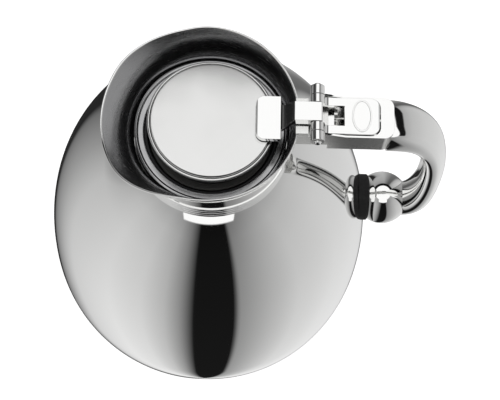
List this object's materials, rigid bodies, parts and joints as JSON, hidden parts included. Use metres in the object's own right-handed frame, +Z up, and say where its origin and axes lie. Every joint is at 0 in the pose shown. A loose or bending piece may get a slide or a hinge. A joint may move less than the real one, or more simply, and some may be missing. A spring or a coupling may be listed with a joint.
{
  "type": "insulated carafe",
  "caption": "Ball-shaped polished steel vacuum carafe with a flared pouring collar, a sprung lever lid worked by a thumb plate, and a curved handle fixed to a ball and an insulating ring.",
  "frame": {"origin": "centre of the foot, on the table", "axes": "+Z up, +X towards the handle, -X towards the pouring beak, +Y to the side"},
  "size_m": [0.2028, 0.17, 0.2305],
  "materials": {
    "polished_steel": "mirror polished",
    "satin_steel": "fine satin",
    "spring_steel": "drawn wire",
    "silvered_glass": "silvered between the walls",
    "black_plastic": "fine texture",
    "black_rubber": "matt",
    "clear_silicone": "milky silicone"
  },
  "bodies": {
    "carafe": {"outer_shell": "polished_steel", "base_ring": "polished_steel", "base_cap": "black_plastic", "foot_pad": "black_rubber", "flask_cushion": "black_rubber", "flask_outer_wall": "silvered_glass", "flask_inner_wall": "silvered_glass", "flask_seal": "clear_silicone", "throat_insert": "black_plastic", "seat_ring": "polished_steel", "neck_ring": "polished_steel", "pouring_collar": "polished_steel", "collar_bracket": "polished_steel", "handle_housing": "polished_steel", "housing_screws": "satin_steel", "handle_grip": "polished_steel", "handle_ball": "polished_steel", "insulating_ring": "black_rubber", "handle_screw": "satin_steel", "screw_washer": "satin_steel", "return_spring": "spring_steel"},
    "lid": {"hinge_pin": "polished_steel", "pin_caps": "polished_steel", "lid_lever": "polished_steel", "thumb_plate": "polished_steel", "badge": "polished_steel", "lid_cap": "satin_steel", "lid_core": "black_plastic", "lid_seal": "clear_silicone", "seal_retainer": "black_plastic", "lid_screw": "satin_steel"}
  },
  "joints": [
    {"name": "lid_hinge", "type": "hinge", "parent": "carafe", "child": "lid", "pos_m": [0.0496, 0, 0.2271], "axis": [0, 1, 0], "range_deg": [0, 20], "stiffness_Nm_per_rad": 0.08, "springref_deg": -51.57, "deforming": ["return_spring"]}
  ]
}
